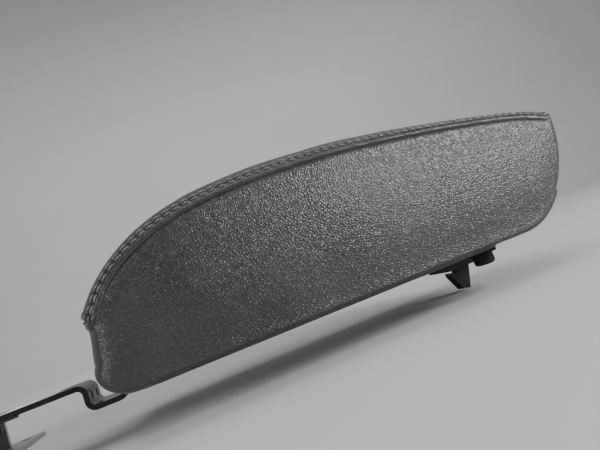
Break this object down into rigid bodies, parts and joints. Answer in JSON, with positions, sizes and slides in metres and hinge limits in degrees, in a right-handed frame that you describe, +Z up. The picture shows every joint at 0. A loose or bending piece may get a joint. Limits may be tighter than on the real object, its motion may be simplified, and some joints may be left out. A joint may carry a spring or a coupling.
{
  "type": "armrest lid with hinge",
  "caption": "Padded leather-covered armrest lid on a gooseneck hinge arm, with a latch hook and rubber buffers underneath and a sprung hinge bracket.",
  "frame": {"origin": "centre of the bracket's four-screw pattern, on its underside, straight below the hinge pin", "axes": "+X from the hinge to the lid's nose, +Y across the lid, +Z up with the lid closed"},
  "size_m": [0.418, 0.124, 0.1264],
  "materials": {
    "zinc_steel": "zinc plated pressed steel",
    "bright_steel": "plated",
    "spring_steel": "oiled spring steel",
    "black_rubber": "satin",
    "black_paint": "gloss black over pressed steel",
    "bush_plastic": "natural nylon",
    "insert_brass": "knurled",
    "label_white": "blank printed film",
    "carrier_plastic": "moulded",
    "pad_foam": "polyurethane foam",
    "black_leather": "fine pebble grain, satin",
    "cover_plastic": "moulded, light texture",
    "latch_plastic": "glass-filled nylon"
  },
  "bodies": {
    "bracket": {"hinge_bracket": "zinc_steel", "hinge_pin": "bright_steel", "pin_clip": "spring_steel", "torsion_spring": "spring_steel", "open_stop": "black_rubber"},
    "lid": {"hinge_arm": "black_paint", "arm_bushes": "bush_plastic", "arm_inserts": "insert_brass", "arm_screws": "bright_steel", "arm_label": "label_white", "lid_carrier": "carrier_plastic", "foam_core": "pad_foam", "cover_side": "black_leather", "cover_top": "black_leather", "base_cover": "cover_plastic", "cover_screws": "bright_steel", "latch_hook": "latch_plastic", "latch_screws": "bright_steel", "buffer_right": "black_rubber", "buffer_left": "black_rubber"}
  },
  "joints": [
    {"name": "lid_hinge", "type": "hinge", "parent": "bracket", "child": "lid", "pos_m": [0, 0, 0.016], "axis": [0, -1, 0], "range_deg": [0, 92]}
  ]
}
